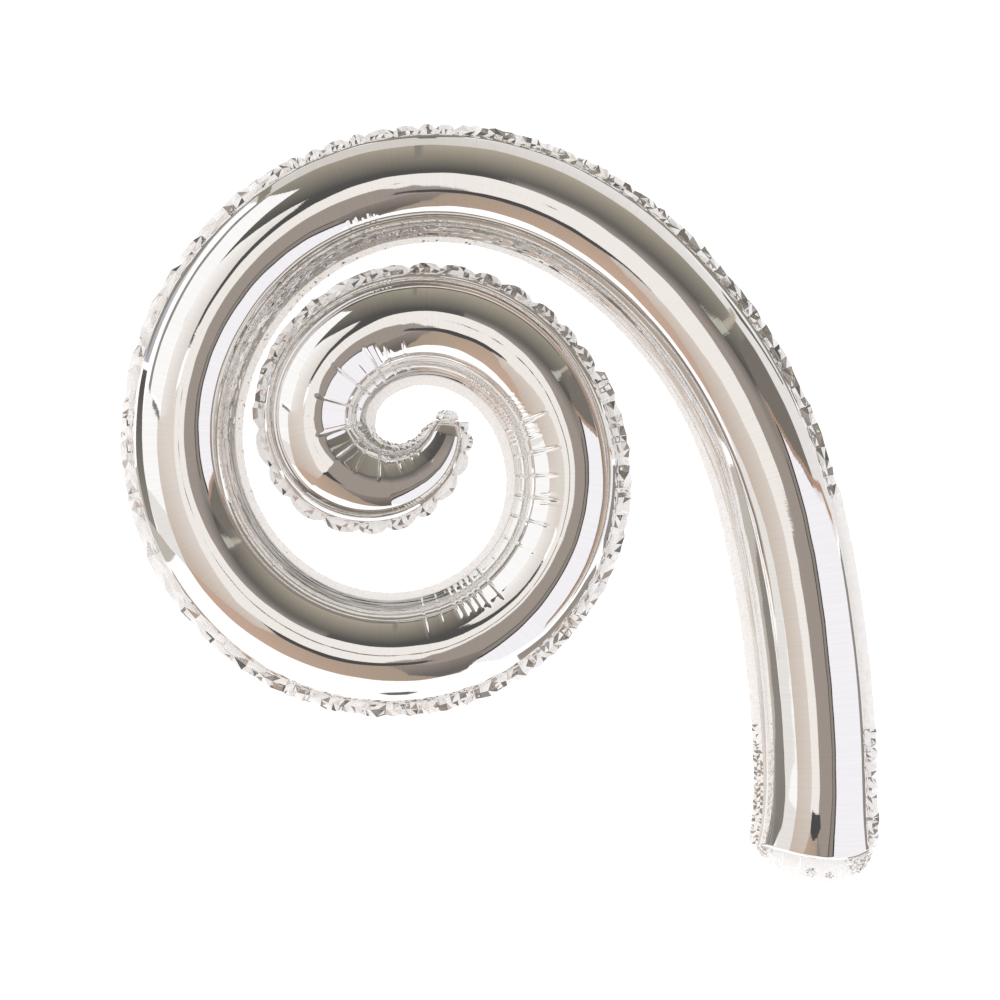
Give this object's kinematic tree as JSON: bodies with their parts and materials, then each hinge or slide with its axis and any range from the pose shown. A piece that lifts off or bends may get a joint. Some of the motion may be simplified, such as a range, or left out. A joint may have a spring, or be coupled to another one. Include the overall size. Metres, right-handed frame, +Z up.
{
  "type": "spiral foil balloon",
  "caption": "Air-filled foil balloon in the shape of a curled spiral, two metallised film shells sealed along both edges, with a tail tab that holds the filling valve.",
  "frame": {"origin": "tie point in the middle of the tail tab, half way through its thickness", "axes": "+Z up, from the tail towards the curl; +X to the right when the balloon is seen from its front, away from the curl; the front faces -Y and +Y is the thin direction"},
  "size_m": [0.3555, 0.0476, 0.3559],
  "materials": {
    "front_foil": "metallised film, mirror bright",
    "back_foil": "metallised film, mirror bright",
    "outer_seal": "heat-sealed film, crinkled",
    "inner_seal": "heat-sealed film, fine grain",
    "tip_seal": "heat-sealed film, crinkled",
    "tail_tab": "heat-sealed film, fine grain",
    "filling_valve": "clear film strip"
  },
  "bodies": {
    "root": {"front_foil": "front_foil", "back_foil": "back_foil", "outer_seal": "outer_seal", "inner_seal": "inner_seal", "tip_seal": "tip_seal", "tail_tab": "tail_tab", "filling_valve": "filling_valve"}
  },
  "joints": []
}
